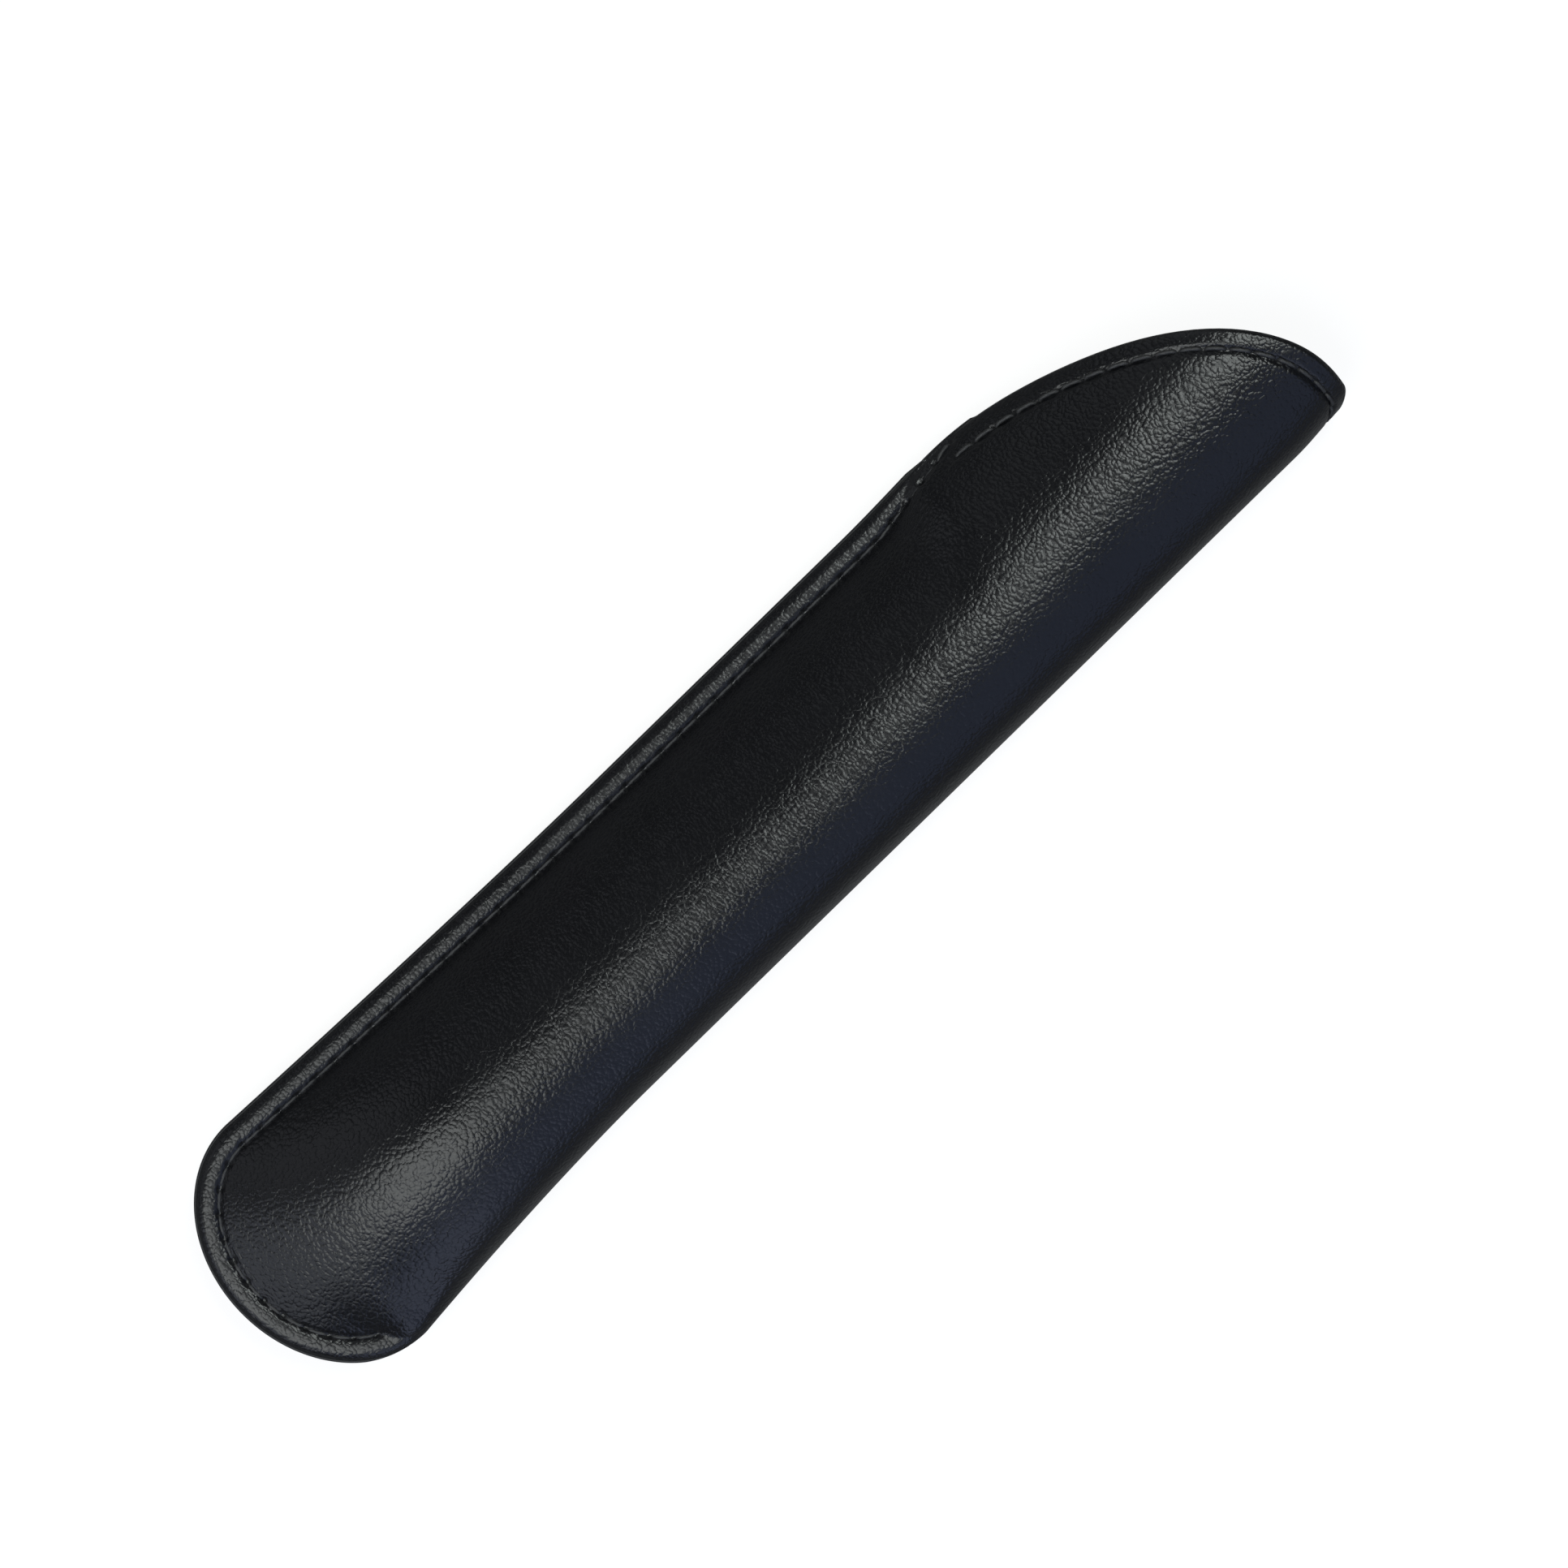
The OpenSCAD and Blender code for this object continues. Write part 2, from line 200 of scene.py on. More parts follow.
def corner_left(y):
    """Share of the seam allowance that is left as it runs out towards the fold."""
    return 1 - ease((y - TOE_DEPTH + CORNER_L) / CORNER_L)


def fold_crease(y):
    return mix(fold_x(y), np.where(y < TOE_DEPTH, toe_crease(y), fold_x(y)), corner_left(y))


def crest_x(y):
    half = SLEEVE_L / 2
    low = mix(CREST_TOE, CREST_MIDDLE, ease(y / half))
    high = mix(CREST_MIDDLE, CREST_MOUTH, ease(y / half - 1))
    in_toe = toe_crease(y) / (HALF_TOE - SEAM_MARGIN)
    return np.where(y < half, low, high) * np.where(y < TOE_DEPTH, in_toe, 1)


def opened(y):
    return 1 - (1 - np.clip((y - CREASE_START) / RISE_L, 0, 1)) ** 2


def bow(y):
    """The front bulges a little more in its middle than at its ends."""
    return BOW_H * np.cos(2 * np.pi * (y - BOW_Y) / BOW_L)


def lift(y):
    return MOUTH_LIFT * ease((y - LIFT_START) / (SLEEVE_L - LIFT_START))


def swell(x, y, flat):
    crest = crest_x(y)
    left = (crest - x) / np.maximum(crest - seam_crease(y), 1e-6)
    right = (x - crest) / np.maximum(fold_crease(y) - crest, 1e-6)
    share = np.clip(np.where(x < crest, left, right), 0, 1)
    share = np.clip((share - flat) / (1 - flat), 0, 1)
    power = np.where(x < crest, 1, 1 / (1 + ease((y - TOE_DEPTH) / ROUND_L)))
    return (1 - share ** 2) ** power


def fold_round(x, y):
    """The tight half round where the leather turns over at the fold, from 0 on the fold to 1 inside it."""
    line = np.where(y < TOE_DEPTH, HALF_TOE, fold_x(y))
    inside = np.clip((line - x) / HALF_SEAM, 0, 1)
    return np.where(x < crest_x(y), 1, np.sqrt(1 - (1 - inside) ** 2))


def panel_height(x, y, side):
    """Height of the front (side 1) or back (side -1) panel's outer face."""
    rise = (FRONT_RISE + lift(y) + bow(y)) * swell(x, y, 0.0)
    drop = (BACK_DROP - lift(y)) * swell(x, y, BELLY_SHARE)
    return SEAM_Z + side * (HALF_SEAM * fold_round(x, y) + opened(y) * (rise if side > 0 else drop))


print("crest at the toe, middle and mouth:", np.round(crest_x(np.array([12.0, 69.0, 138.0])), 2))

# %% [markdown]
# ## One grid for the whole sheet
# A grid of plain rows would cut the rounded toe into steps. This one follows the edge: its stations run
# from the mouth down the seam, fan round the toe, and go up the fold to the mouth again. At each station
# the points go from the edge in to the crest, close together in the flat seam allowance and over the
# fold. Front and back use the same plan and share the points of the fold line.

# %% Columns of one side, and rays of the toe
EDGE_STEPS = np.array([0, 0.005, 0.02, 0.045, 0.08, 0.125, 0.18, 0.25, 0.33, 0.42, 0.52, 0.63, 0.75, 0.88,
                       1.02, 1.16, 1.3, 1.44, 1.58, 1.72, 1.85, 1.97, 2.09, 2.21, 2.33, 2.46, 2.6, 2.75,
                       2.92, 3.12, 3.35, 3.65, 4.0, 4.4])
INNER_STEPS = 18


def side_columns(edge, crest, sign, steps, shares):
    """Columns of one side: close together at the edge, then in even shares up to the crest."""
    near = edge[:, None] + sign * steps[None, :]
    start = edge + sign * steps[-1]
    far = mix(start[:, None], crest[:, None], shares[None, :])
    return np.concatenate([near, far], axis=1)


def toe_rays(steps, shares, count):
    """Rays from the rounded edge of the toe to the end of the crest."""
    turns = np.linspace(0, np.pi, count + 1)[1:-1]
    pole = np.array([crest_x(np.array(TOE_DEPTH)), TOE_DEPTH])
    near = np.stack([-(HALF_TOE - steps[None, :]) * np.cos(turns)[:, None],
                     TOE_DEPTH - (TOE_CUT - steps[None, :]) * np.sin(turns)[:, None]], axis=2)
    far = mix(near[:, -1:, :], pole[None, None, :], shares[None, :, None])
    return np.concatenate([near, far], axis=1)


print("columns from the edge to the crest:", len(EDGE_STEPS) + INNER_STEPS)

# %% [markdown]
# ### Rows that turn into the arch
# Below the mouth the rows lie straight across. From there each column runs on to its own point of the
# arch, and the rows between slant more and more, until the last one is the mouth's edge. They lie close
# together in the last three millimetres, because the hem's band and groove are there.

# %% Rows of the mouth
HEM_STEPS = np.array([0, 0.02, 0.07, 0.14, 0.22, 0.32, 0.45, 0.6, 0.78, 0.96, 1.14, 1.32, 1.5, 1.68,
                      1.86, 2.04, 2.22, 2.42, 2.66, 2.95, 3.3])
CREST_HEM_ANGLE = math.acos((TIP_X - CREST_MOUTH) / ARCH_W)


def mouth_ends(last, steps, shares):
    """The point of the mouth's edge where each column ends, on the seam's side and on the fold's."""
    share = (last[:, 0] - last[0, 0]) / (last[-1, 0] - last[0, 0])
    angle = CREST_HEM_ANGLE * share
    seam_side = np.stack([TIP_X - ARCH_W * np.cos(angle), ARCH_Y + MOUTH_DROP * np.sin(angle)], axis=1)
    top = np.array([SLEEVE_L])
    x = side_columns(fold_x(top), crest_x(top), -1, steps, shares)[0]
    x[-1] = seam_side[-1, 0]
    return seam_side, np.stack([x, mouth_y(x)], axis=1)


def mouth_rows(low, high, count, hem_steps):
    length = np.linalg.norm(high - low, axis=1)
    zone = [mix(low, high, (k / count) * (1 - hem_steps[-1] / length)[:, None]) for k in range(1, count)]
    zone += [mix(low, high, (1 - step / length)[:, None]) for step in hem_steps[::-1]]
    return np.stack(zone)


print("the crest meets the mouth at", round(math.degrees(CREST_HEM_ANGLE), 1), "degrees of the arch")

# %% The whole grid
ROW_STEP = 0.34
TOE_ARC_L = 40.0            # about the length of the toe's edge


def plan_rows(y_step, steps, inner, hem_steps):
    """Stations by columns of plan points: the seam side down, round the toe, and the fold side up."""
    low_y = np.linspace(TOE_DEPTH, ZONE_Y, int((ZONE_Y - TOE_DEPTH) / y_step) + 1)
    shares = np.linspace(0, 1, inner + 1)[1:]
    sides = []
    for edge_of, sign in ((seam_x, 1), (fold_x, -1)):
        x = side_columns(edge_of(low_y), crest_x(low_y), sign, steps, shares)
        sides.append(np.stack([x, np.repeat(low_y[:, None], x.shape[1], axis=1)], axis=2))
    count = int((MOUTH_DROP + ZONE_L) / y_step)
    ends = mouth_ends(sides[0][-1], steps, shares)
    seam_side, fold_side = [np.concatenate([rows, mouth_rows(rows[-1], high, count, hem_steps)])
                            for rows, high in zip(sides, ends)]
    toe = toe_rays(steps, shares, int(TOE_ARC_L / y_step))
    return np.concatenate([seam_side[::-1], toe, fold_side]), len(seam_side), len(toe)


grid, SIDE_ROWS, TOE_ROWS = plan_rows(ROW_STEP, EDGE_STEPS, INNER_STEPS, HEM_STEPS)
print("grid of", grid.shape[0], "stations by", grid.shape[1], "columns")

# %% [markdown]
# ## From grid to folded sheet
# The index of each grid point is worked out once. Points on the crest belong to a seam row and to a fold
# row, the rays of the toe all end in one point, and the fold line belongs to both panels. Merging them
# gives one continuous surface with smooth normals, which is what an offset for the leather's thickness
# needs.

# %% Merge the shared points and list the faces
def folded_sheet(plan, side_rows):
    stations, columns = plan.shape[:2]
    index = np.arange(2 * stations * columns).reshape(2, stations, columns)
    toe_end = stations - side_rows
    for panel in index:
        panel[toe_end:, -1] = panel[:side_rows, -1][::-1]
        panel[side_rows:toe_end, -1] = panel[side_rows - 1, -1]
    index[1, toe_end:, 0] = index[0, toe_end:, 0]
    quads = []
    for panel, flip in ((index[0], False), (index[1], True)):
        corners = [panel[:-1, :-1], panel[1:, :-1], panel[1:, 1:], panel[:-1, 1:]]
        cells = np.stack(corners, axis=2).reshape(-1, 4)
        quads.append(cells[:, ::-1] if flip else cells)
    return index, np.concatenate(quads)


def sheet_points(plan):
    x, y = plan[..., 0], plan[..., 1]
    return np.stack([np.stack([x, y, panel_height(x, y, side)], axis=2) for side in (1, -1)])


def point_normals(points, quads):
    """Normals of merged points, from the diagonals of the faces round them."""
    turn = np.cross(points[quads[:, 2]] - points[quads[:, 0]], points[quads[:, 3]] - points[quads[:, 1]])
    total = np.zeros_like(points)
    for corner in range(4):
        np.add.at(total, quads[:, corner], turn)
    size = np.linalg.norm(total, axis=1, keepdims=True)
    return total / np.maximum(size, 1e-12)


sheet_index, sheet_quads = folded_sheet(grid, SIDE_ROWS)
base = sheet_points(grid).reshape(-1, 3)
base_normals = point_normals(base, sheet_quads)
print("crest normal points up:", round(float(base_normals[sheet_index[0, SIDE_ROWS // 2, -1], 2]), 3))

# %% [markdown]
# ## Where the stitches lie
# A stitch line is found on the surface itself: along each station for the seam, and along each column for
# the mouth's hem, the point at the right distance from the edge is picked out. Needle holes then follow
# at an even pitch, with a stitch of thread from one hole to the next. The hem's line goes over the front,
# round the fold and back over the back.

# %% Finding a line on the surface
def pick(rows, normals, distance, wanted):
    """The point of each row where the distance passes the wanted value."""
    points, directions = [], []
    for row, normal, d in zip(rows, normals, distance):
        inside = np.nonzero((d[:-1] < wanted) & (d[1:] >= wanted))[0]
        if len(inside):
            k = inside[0]
            t = (wanted - d[k]) / (d[k + 1] - d[k])
            points.append(mix(row[k], row[k + 1], t))
            directions.append(mix(normal[k], normal[k + 1], t))
    directions = np.array(directions)
    return np.array(points), directions / np.linalg.norm(directions, axis=1, keepdims=True)


def resample(points, directions, pitch):
    """Lengths along a line, and a function that gives the point and direction at a length."""
    steps = np.linalg.norm(np.diff(points, axis=0), axis=1)
    length = np.concatenate([[0], np.cumsum(steps)])

    def at(s):
        p = np.stack([np.interp(s, length, points[:, k]) for k in range(3)], axis=-1)
        n = np.stack([np.interp(s, length, directions[:, k]) for k in range(3)], axis=-1)
        return p, n / np.linalg.norm(n, axis=-1, keepdims=True)

    count = int(length[-1] / pitch)
    start = (length[-1] - count * pitch) / 2
    return at, start + pitch * np.arange(count + 1)

# %% The seam's line on each panel
PITCH = 2.4
SEAM_STITCH_IN = 2.3
SEAM_STITCH_TOP = ARCH_Y - 1.8
SEAM_TOE_SHARE = 0.92       # how far round the toe the seam goes before it meets the fold

seam_lines = []
seam_part = slice(0, SIDE_ROWS + int(SEAM_TOE_SHARE * TOE_ROWS))
edge_distance = np.zeros(grid.shape[:2]) + np.concatenate([EDGE_STEPS, np.full(INNER_STEPS, FAR)])
for panel in sheet_index:
    ids = panel[seam_part]
    low = grid[seam_part, 0, 1] < SEAM_STITCH_TOP
    line = pick(base[ids[low]], base_normals[ids[low]], edge_distance[seam_part][low], SEAM_STITCH_IN)
    seam_lines.append(resample(*line, PITCH))
print("stitches in the seam:", len(seam_lines[0][1]) - 1)

# %% The hem's line round the mouth
HEM_STITCH_IN = 2.0
HEM_STITCH_LOW = ARCH_Y + 1.5
SAME_PLACE = 0.01

mouth_distance = from_mouth(grid[..., 0], grid[..., 1])
mouth_distance[[0, -1]] = 0
front, back = sheet_index
seam_rows = slice(0, SIDE_ROWS)
fold_rows = slice(None, len(grid) - SIDE_ROWS - 1, -1)
hem_parts = ((front, seam_rows, 1), (front, fold_rows, -1), (back, fold_rows, 1), (back, seam_rows, -1))
hem_points, hem_directions = [], []
for panel, rows, order in hem_parts:
    ids = panel[rows].T[::order]
    p, n = pick(base[ids], base_normals[ids], mouth_distance[rows].T[::order], HEM_STITCH_IN)
    keep = p[:, 1] > HEM_STITCH_LOW
    hem_points.append(p[keep])
    hem_directions.append(n[keep])
hem_points = np.concatenate(hem_points)
hem_directions = np.concatenate(hem_directions)
moved = np.linalg.norm(np.diff(hem_points, axis=0), axis=1)
distinct = np.concatenate([[True], moved > SAME_PLACE])
hem_at, hem_holes = resample(hem_points[distinct], hem_directions[distinct], PITCH)
print("stitches in the hem:", len(hem_holes) - 1)

# %% [markdown]
# ## What stitching does to leather
# Thread pulled tight sinks into the leather. Outside the seam line the two layers puff up into a rounded
# bead, and the raw edge is rubbed round. At the mouth the turned hem makes a flat, raised band that ends
# in its stitch line. These are small offsets of the smooth sheet, so they are real shape, not only bump.

# %% Profiles, and where each point lies
def bell(t):
    return np.where(np.abs(t) < 1, (1 + np.cos(np.pi * t)) / 2, 0)


def crown(t):
    """A bell with a flat top and steep sides."""
    return np.clip(1 - np.abs(t) ** 3, 0, 1)


def both_panels(values):
    return np.tile(values[None], (2, 1, 1))


edge_in = both_panels(edge_distance)
mouth_in = both_panels(mouth_distance)
plan_x = both_panels(grid[..., 0])
plan_y = both_panels(grid[..., 1])
nose = fold_round(plan_x, plan_y)
print("points to offset:", edge_in.size)

# %% [markdown]
# ### The bead outside the seam
# The bead runs along the seam's side and round the toe. It fades where the two layers part at the mouth's
# corner, and where the seam allowance runs out towards the fold.

# %% Bead
BEAD_H, BEAD_AT, BEAD_HALF_W = 0.38, 1.3, 1.05
BEAD_TOP, BEAD_FADE_L = ARCH_Y + 2.2, 2.6
FLANGE_SINK, FLANGE_W, FLANGE_SLOPE_W = 0.3, 2.9, 0.8
RUB_DOWN, RUB_W = 0.4, 0.35


def bead_share(y):
    """The share of the bead that is left near the mouth's corner, where the two layers part."""
    return ease((BEAD_TOP - y) / BEAD_FADE_L)


left_at_fold = np.where(plan_x > crest_x(plan_y), corner_left(plan_y), 1)
seam_strength = nose * bead_share(plan_y) * left_at_fold
sunk = FLANGE_SINK * ease((FLANGE_W - edge_in) / FLANGE_SLOPE_W)
bead = BEAD_H * crown((edge_in - BEAD_AT) / BEAD_HALF_W) - sunk
rubbed_down = -RUB_DOWN * np.clip(1 - edge_in / RUB_W, 0, 1) ** 2
puffed = (seam_strength * (bead + rubbed_down)).reshape(-1)
print("bead up to", round(puffed.max(), 2), "mm high")

# %% [markdown]
# ### The hem round the mouth
# The hem's band and groove grow from nothing at the mouth's corner, and are almost lost where the leather
# turns over at the fold. The mouth's edge itself is rounded, less where the wall stands steep.

# %% Hem
HEM_H, HEM_RISE_W, HEM_W, HEM_SLOPE_W = 0.13, 0.5, 2.3, 0.6
HEM_GROOVE, GROOVE_AT, GROOVE_HALF_W = 0.22, HEM_STITCH_IN + 0.1, 0.6
HEM_LOW, HEM_FADE_L = ARCH_Y + 0.5, 6.0
HEM_AT_FOLD = 0.2
EDGE_ROUND = 0.45
STEEP_ROUND_SHARE = 0.3

band = HEM_H * ease(mouth_in / HEM_RISE_W) * ease((HEM_W - mouth_in) / HEM_SLOPE_W)
groove = HEM_GROOVE * bell((mouth_in - GROOVE_AT) / GROOVE_HALF_W)
hem = ease((plan_y - HEM_LOW) / HEM_FADE_L) * (mix(HEM_AT_FOLD, 1, nose) * (band - groove))
round_in = np.clip(1 - mouth_in / EDGE_ROUND, 0, 1)
hem_round = (EDGE_ROUND * (1 - np.sqrt(np.clip(1 - round_in ** 2, 0, 1)))).reshape(-1)
lying = np.abs(base_normals[:, 2])
offset = hem.reshape(-1) - mix(STEEP_ROUND_SHARE, 1, lying) * hem_round
print("hem from", round(float(hem.min()), 2), "to", round(float(hem.max()), 2), "mm")

# %% [markdown]
# ### Needle holes, slow unevenness, wear and a painted highlight
# Each needle hole is a small dip. The panels are never quite even, so a slow wave of a twentieth of a
# millimetre runs over them, away from the seam. A mask marks the bead and the mouth's edge, where hands
# and tables rub and where the leather also gets a painted highlight.

# %% Holes, unevenness and the mask for wear and a painted highlight
HOLE_R, HOLE_DEPTH = 0.55, 0.22
WAVE_H, WAVE_L, WAVE_SEED = 0.05, 16, 3
WAVE_FROM, WAVE_FADE_L = 2.6, 4.0
WEAR_AND_HIGHLIGHT_HALF_W, MOUTH_WEAR_AND_HIGHLIGHT_W, MOUTH_WEAR_AND_HIGHLIGHT = 1.0, 1.2, 0.8


def near_points(points, centres, radius):
    """Largest bell of the distance to any of the centres."""
    found = np.zeros(len(points))
    for centre in centres:
        near = np.nonzero(np.abs(points[:, 1] - centre[1]) < radius)[0]
        gap = np.linalg.norm(points[near] - centre, axis=1) / radius
        found[near] = np.maximum(found[near], bell(gap))
    return found


def soft_noise(points, size, seed, waves=7):
    """Slow unevenness from a few sine waves in seeded directions."""
    draw = np.random.default_rng(seed)
    total = np.zeros(len(points))
    for _ in range(waves):
        direction = draw.normal(size=3)
        direction /= np.linalg.norm(direction)
        wave_length = size * draw.uniform(0.7, 1.5)
        total += np.sin(points @ direction * 2 * np.pi / wave_length + draw.uniform(0, 6.28))
    return total / waves


needle_holes = [hem_at(hem_holes)[0]] + [at(holes)[0] for at, holes in seam_lines]
offset -= HOLE_DEPTH * near_points(base, np.concatenate(needle_holes), HOLE_R)
away_from_seam = np.clip((edge_in.reshape(-1) - WAVE_FROM) / WAVE_FADE_L, 0, 1)
offset += WAVE_H * soft_noise(base, WAVE_L, WAVE_SEED) * away_from_seam
outer = base + base_normals * offset[:, None]
outer[:, 2] += np.repeat([1.0, -1.0], grid[..., 0].size) * puffed
# This mask marks real rubbing. The leather also uses it to paint a paler highlight on the bead's crown and
# the mouth's edge.
mouth_wear_and_highlight = MOUTH_WEAR_AND_HIGHLIGHT * bell(mouth_in / MOUTH_WEAR_AND_HIGHLIGHT_W)
wear_and_highlight_mask = np.clip(seam_strength * bell((edge_in - BEAD_AT) / WEAR_AND_HIGHLIGHT_HALF_W) + mouth_wear_and_highlight, 0, 1).reshape(-1)
print("outer face moved by", round(offset.min(), 2), "to", round(offset.max(), 2), "mm along its normals")

# %% [markdown]
# ## Closing the sheet
# A solid sheet needs an outer face, an inner face and walls along its open edges. A wall is added
# wherever an edge of the grid belongs to only one face. Points that ended up in the same place are
# dropped first, so the finished mesh is closed and clean.

# %% Faces of a closed sheet
def tidy_faces(quads):
    """Faces without repeated points."""
    faces = []
    for quad in quads.tolist():
        face = [v for k, v in enumerate(quad) if v != quad[k - 1]]
        if len(set(face)) >= 3:
            faces.append(face)
    return faces


def closed_sheet(quads, count, shared=()):
    """Faces of the outer sheet, of the inner sheet behind it, and of the walls between them."""
    faces = tidy_faces(quads)
    inner = {v: v for v in shared}
    edges = {}
    for face in faces:
        for a, b in zip(face, face[1:] + face[:1]):
            edges[(a, b)] = True
    walls = []
    for a, b in edges:
        if (b, a) not in edges:
            walls.append([b, a, inner.get(a, a + count), inner.get(b, b + count)])
    back_faces = [[inner.get(v, v + count) for v in reversed(face)] for face in faces]
    return faces + back_faces + tidy_faces(np.array(walls))


mouth_ids = set(sheet_index[:, 0].reshape(-1).tolist()) | set(sheet_index[:, -1].reshape(-1).tolist())
leather_faces = closed_sheet(sheet_quads, len(base), shared=mouth_ids)
print("the closed sheet has", len(leather_faces), "faces")

# %% [markdown]
# ### Into metres, and a pull at the mouth
# Every piece goes through one last step. The hem draws the tip in a little at the fold, and lets the arch
# spread near the mouth's corner. Then millimetres counted from the toe become metres round the middle of
# the sleeve.

# %% Placing a piece
TIP_PULL_X, TIP_PULL_Y = 0.45, 0.3
TIP_FROM_X, TIP_FROM_Y, TIP_EASE_L = 3, 130, 8
ARCH_SPREAD = 0.38
SPREAD_Y, SPREAD_HALF_L = 108, 15
SPREAD_FROM_X, SPREAD_EASE_L = -4, 6


def pulled(points_mm):
    x, y, z = np.asarray(points_mm).T
    tip = ease((y - TIP_FROM_Y) / TIP_EASE_L) * ease((x - TIP_FROM_X) / TIP_EASE_L)
    arch = bell((y - SPREAD_Y) / SPREAD_HALF_L) * ease((SPREAD_FROM_X - x) / SPREAD_EASE_L)
    return np.stack([x - ARCH_SPREAD * arch - TIP_PULL_X * tip, y - TIP_PULL_Y * tip, z], axis=1)


def add_piece(name, points_mm, faces):
    """A smooth mesh object in metres, from points in millimetres counted from the toe."""
    used = sorted({v for face in faces for v in face})
    new_number = {v: k for k, v in enumerate(used)}
    place = (pulled(points_mm)[used] - [0, MIDDLE_Y, 0]) * MM
    mesh = bpy.data.meshes.new(name)
    mesh.from_pydata(place.tolist(), [], [[new_number[v] for v in face] for face in faces])
    mesh.update()
    mesh.shade_smooth()
    piece = bpy.data.objects.new(name, mesh)
    bpy.context.scene.collection.objects.link(piece)
    return piece, used


def add_mask(piece, name, values):
    """A grey value on each point, which a material can read."""
    layer = piece.data.attributes.new(name, "FLOAT", "POINT")
    layer.data.foreach_set("value", np.asarray(values, dtype=np.float32))


print("the tip is drawn in by up to", TIP_PULL_X, "mm")

# %% [markdown]
# ### The leather body
# The inner face lies one leather thickness behind the smooth sheet, so grooves and bead thin or thicken
# the wall. At the mouth both faces meet in one rounded edge.

# %% Leather body
inner_round = np.minimum(hem_round, LEATHER_T - EDGE_ROUND)
inner_face = base - base_normals * (LEATHER_T - inner_round)[:, None]
leather, leather_used = add_piece("leather_body", np.concatenate([outer, inner_face]), leather_faces)
add_mask(leather, "wear_and_highlight", np.concatenate([wear_and_highlight_mask, np.zeros(len(base))])[leather_used])
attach(leather, "root")
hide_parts("leather_shell")
print("leather:", len(leather.data.vertices), "points")

# %% [markdown]
# ## The lining
# A thin cloth is glued inside and stops just short of the mouth. It is the same sheet again, further in
# along the same normals and on a coarser grid, because only its end shows.

# %% Lining cloth
LINING_ROW_STEP, LINING_INNER_STEPS = 1.0, 12
LINING_STEPS = EDGE_STEPS[[0, 4, 7, 10, 13, 16, 19, 22, 25, 27, 29, 31, 33]]
lining_grid, lining_side, _ = plan_rows(LINING_ROW_STEP, LINING_STEPS, LINING_INNER_STEPS,
                                        HEM_STEPS[::4] + LINING_REVEAL)
_, lining_quads = folded_sheet(lining_grid, lining_side)
lining_base = sheet_points(lining_grid).reshape(-1, 3)
lining_normals = point_normals(lining_base, lining_quads)
lining_faces = closed_sheet(lining_quads, len(lining_base))
lining_sides = [lining_base - lining_normals * depth for depth in (LINING_OUT, LINING_IN)]
lining, _ = add_piece("lining_cloth", np.concatenate(lining_sides), lining_faces)
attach(lining, "root")
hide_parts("lining")
print("lining:", len(lining.data.vertices), "points")

# %% [markdown]
# ### How the cloth is cut
# The lining is one flat piece before it is folded. Its width is the largest girth round both panels, and
# its length runs from the toe to its end in the mouth. This script does not work these sizes out.

# %% [markdown]
# ## The painted edge
# The raw edge of both layers is sealed with several coats of edge paint, which dry to a smooth bead. The
# bead is a half-round profile carried along the edge, from the mouth's corner round the toe to the fold.

# %% Where the paint runs
PAINT_START = 4             # stations left bare at the mouth's corner
PAINT_TOE_SHARE = 0.95
PAINT_FADE_L, PAINT_FADE_TURN, PAINT_LEAST = 2.0, 0.13, 0.1
PAINT_COLUMN = 3            # the grid column where the bead meets the leather's faces
BODY_CENTRE = [0, 60]

paint_part = np.arange(PAINT_START, SIDE_ROWS + int(PAINT_TOE_SHARE * TOE_ROWS))
toe_turn = np.clip((paint_part - SIDE_ROWS + 1) / (TOE_ROWS + 1), 0, 1)
mouth_fade = np.clip((ARCH_Y - grid[paint_part, 0, 1]) / PAINT_FADE_L, PAINT_LEAST, 1)
fade = mouth_fade * np.clip((PAINT_TOE_SHARE - toe_turn) / PAINT_FADE_TURN, PAINT_LEAST, 1)
high, low = [outer[panel[paint_part, PAINT_COLUMN], 2] for panel in sheet_index]
edge_line = base[sheet_index[0][paint_part, 0]][:, :2]
step = np.gradient(edge_line, axis=0)
outward = np.stack([step[:, 1], -step[:, 0]], axis=1)
outward /= np.linalg.norm(outward, axis=1, keepdims=True)
outward *= np.sign((outward * (edge_line - BODY_CENTRE)).sum(axis=1))[:, None]
print("paint follows", len(paint_part), "stations of the edge")

# %% Edge paint
PAINT_PROFILE = 10
PAINT_ROUND = 0.55          # below 1, the profile is fuller than a half round
PAINT_LIP = 0.04


def tube_faces(rows, sides, first=0):
    """Faces of a tube of rings, closed at both ends."""
    number = first + np.arange(rows * sides).reshape(rows, sides)
    following = np.roll(number, -1, axis=1)
    walls = np.stack([number[:-1], following[:-1], following[1:], number[1:]], axis=2).reshape(-1, 4)
    return walls.tolist() + [number[0][::-1].tolist(), number[-1].tolist()]


bead_points = []
for k in range(PAINT_PROFILE + 1):
    turn = math.pi * (k / PAINT_PROFILE - 0.5)
    reach = PAINT_T * math.cos(turn) ** PAINT_ROUND if 0 < k < PAINT_PROFILE else 0
    height = mix(low, high, (1 + math.sin(turn)) / 2)
    flat = edge_line + outward * (fade * (reach - PAINT_LIP * abs(math.sin(turn))))[:, None]
    bead_points.append(np.concatenate([flat, height[:, None]], axis=1))
paint_points = np.stack(bead_points, axis=1)
paint_faces = tube_faces(*paint_points.shape[:2])
paint, _ = add_piece("edge_paint_bead", paint_points.reshape(-1, 3), paint_faces)
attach(paint, "root")
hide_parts("edge_paint")
print("edge paint:", len(paint_points), "sections")

# %% [markdown]
# ## Thread
# Each stitch is a short, twisted cord. It comes up out of its hole, lies in the groove and dives into the
# next hole. Round the fold, where there is hardly a groove, it is pulled a little deeper. The twist is
# modelled by making the section three-lobed and turning it along the stitch.

